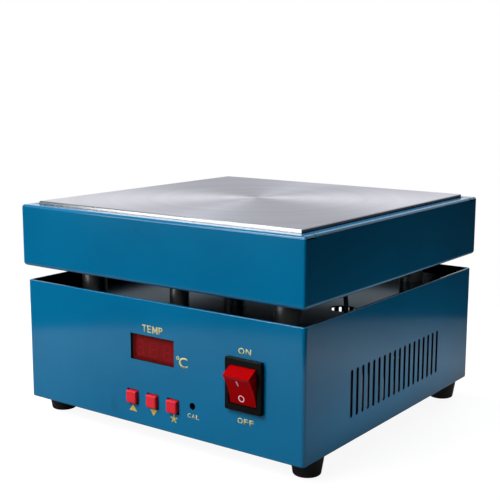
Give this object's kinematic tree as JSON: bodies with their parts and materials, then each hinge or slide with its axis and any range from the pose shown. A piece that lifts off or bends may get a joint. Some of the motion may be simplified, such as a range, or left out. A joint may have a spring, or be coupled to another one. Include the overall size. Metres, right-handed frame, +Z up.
{
  "type": "reflow hot plate",
  "caption": "Square reflow hot plate: flat metal heating plate in a folded tray, on pillars above a vented control box with rocker switch, push buttons, trimmer and red display.",
  "frame": {"origin": "middle of the bounding box on the surface that the feet stand on", "axes": "+Z up, -Y towards the front panel, +X to the right seen from the front"},
  "size_m": [0.2162, 0.223, 0.1405],
  "materials": {
    "blue_paint": "fine textured gloss",
    "plate_metal": "turned, satin",
    "bare_sheet": "satin",
    "black_post": "satin",
    "black_rubber": "matt",
    "black_plastic": "satin",
    "red_cap": "gloss",
    "red_rocker": "translucent gloss",
    "red_filter": "clear gloss",
    "display": "matt",
    "board": "solder mask",
    "screw_steel": "plated",
    "brass": "plain",
    "coil": "enamelled wire",
    "sink": "extruded",
    "mica": "laminate",
    "fibre": "pressed fibre",
    "lead_red": "silicone",
    "pale_plastic": "moulded",
    "fuse_glass": "clear"
  },
  "bodies": {
    "casing": {"base_shell": "blue_paint", "board_screws": "screw_steel", "board_standoffs": "screw_steel", "bottom_cover": "blue_paint", "control_board": "board", "controller_chip": "black_plastic", "cover_screws": "screw_steel", "display_filter": "red_filter", "display_module": "display", "foot_back_left": "black_rubber", "foot_back_right": "black_rubber", "foot_front_left": "black_rubber", "foot_front_right": "black_rubber", "foot_nuts": "screw_steel", "foot_screws": "screw_steel", "fuse": "fuse_glass", "fuse_clips": "brass", "heat_shield": "bare_sheet", "heat_sink": "sink", "heater_clamp_plate": "bare_sheet", "heater_conduit": "black_post", "heater_lead_live": "lead_red", "heater_lead_neutral": "lead_red", "heater_screws": "screw_steel", "heater_sheet": "mica", "heater_terminal_nuts": "brass", "heater_terminals": "brass", "heating_plate": "plate_metal", "inlet_housing": "black_plastic", "inlet_pins": "brass", "inlet_screws": "screw_steel", "insulation_board": "fibre", "key_switch_down": "black_plastic", "key_switch_set": "black_plastic", "key_switch_up": "black_plastic", "pillar_back_left": "black_post", "pillar_back_right": "black_post", "pillar_front_left": "black_post", "pillar_front_right": "black_post", "pillar_screws": "screw_steel", "plate_screws": "screw_steel", "plate_spacers": "screw_steel", "power_board": "board", "power_standoffs": "screw_steel", "sensor_connector": "pale_plastic", "sensor_lead": "black_rubber", "sensor_probe": "screw_steel", "switch_housing": "black_plastic", "switch_terminals": "brass", "terminal_block": "pale_plastic", "transformer_coil": "coil", "transformer_core": "screw_steel", "tray_shell": "blue_paint", "triac": "black_plastic", "trim_pot_body": "pale_plastic"},
    "rocker": {"switch_rocker": "red_rocker"},
    "up_button": {"button_up": "red_cap"},
    "down_button": {"button_down": "red_cap"},
    "set_button": {"button_set": "red_cap"},
    "trimmer": {"trim_pot_rotor": "brass"}
  },
  "joints": [
    {"name": "rocker_tilt", "type": "hinge", "parent": "casing", "child": "rocker", "pos_m": [0.0677, -0.10265, 0.0508], "axis": [-1, 0, 0], "range_deg": [0, 46]},
    {"name": "up_button_press", "type": "slide", "parent": "casing", "child": "up_button", "axis": [0, 1, 0], "range_m": [0, 0.0005], "stiffness_N_per_m": 3000},
    {"name": "down_button_press", "type": "slide", "parent": "casing", "child": "down_button", "axis": [0, 1, 0], "range_m": [0, 0.0005], "stiffness_N_per_m": 3000},
    {"name": "set_button_press", "type": "slide", "parent": "casing", "child": "set_button", "axis": [0, 1, 0], "range_m": [0, 0.0005], "stiffness_N_per_m": 3000},
    {"name": "trimmer_turn", "type": "hinge", "parent": "casing", "child": "trimmer", "pos_m": [0.0298, -0.09355, 0.0309], "axis": [0, -1, 0], "range_deg": [-130, 130]}
  ]
}
